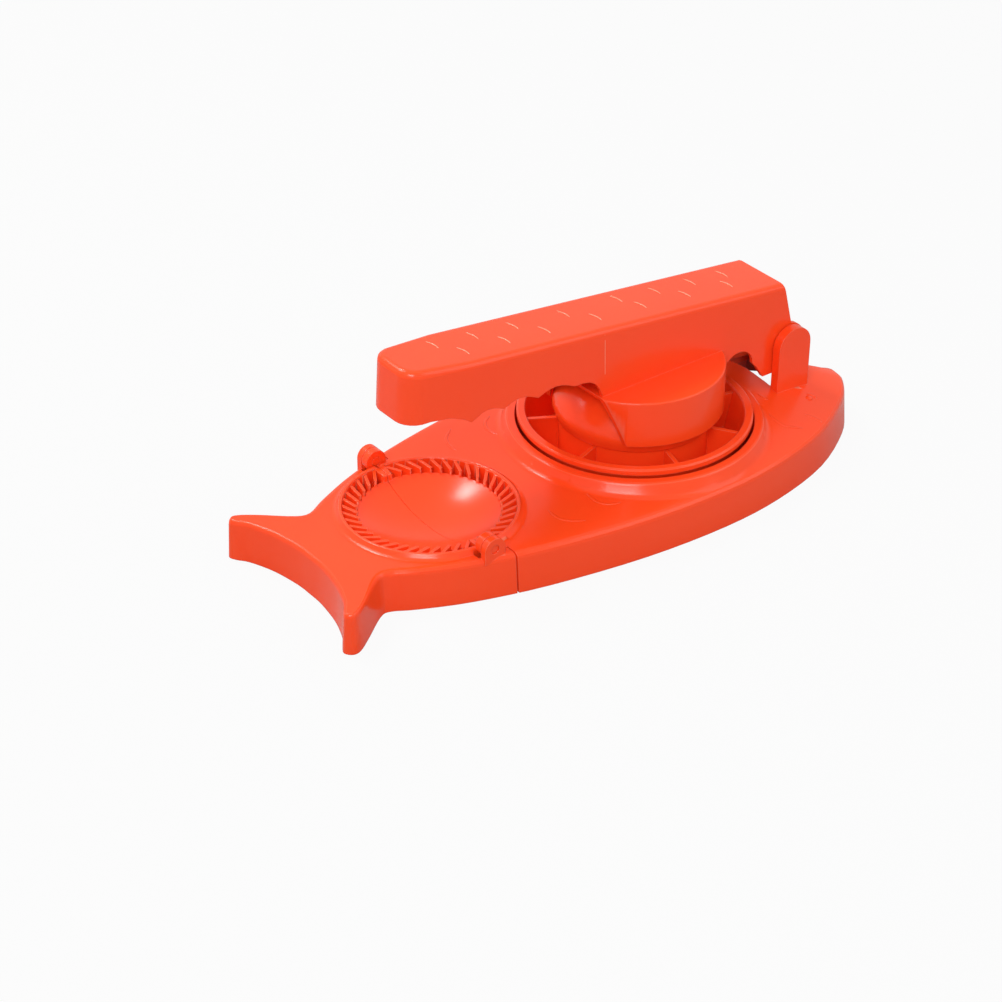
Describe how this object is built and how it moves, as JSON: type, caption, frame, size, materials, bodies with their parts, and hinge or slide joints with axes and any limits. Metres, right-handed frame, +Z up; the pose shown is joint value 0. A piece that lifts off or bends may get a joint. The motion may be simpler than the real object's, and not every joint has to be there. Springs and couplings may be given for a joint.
{
  "type": "empanada press",
  "caption": "Fish-shaped moulded press for dough: a hinged lever works a round press plate in a well, and a folding tail closes a crimping mould",
  "frame": {"origin": "on the table under the middle of the overall length and width", "axes": "+X toward the fish's head, -Y toward the side nearest the camera, +Z up"},
  "size_m": [0.2901, 0.127, 0.0945],
  "materials": {
    "plastic": "glossy moulded orange-red",
    "steel": "plain round pin"
  },
  "bodies": {
    "base": {"body_shell": "plastic", "fold_pin_near": "plastic", "fold_pin_far": "plastic"},
    "tail": {"tail_shell": "plastic"},
    "lever": {"lever_handle": "plastic", "lever_pin": "steel"},
    "press": {"press_plate": "plastic", "press_dome": "plastic", "swivel_pin": "steel"}
  },
  "joints": [
    {"name": "lever_hinge", "type": "hinge", "parent": "base", "child": "lever", "pos_m": [0.111, 0, 0.044], "axis": [0, 1, 0], "range_deg": [0, 130]},
    {"name": "tail_fold", "type": "hinge", "parent": "base", "child": "tail", "pos_m": [-0.0726, 0, 0.0223], "axis": [0, 1, 0], "range_deg": [0, 180]},
    {"name": "plate_swivel", "type": "hinge", "parent": "lever", "child": "press", "pos_m": [0.0378, 0, 0.038], "axis": [0, 1, 0], "range_deg": [-2, 2]}
  ],
  "couplings": [
    {"joint": "tail_fold", "follows": "lever_hinge", "ratio": 1.3846}
  ]
}
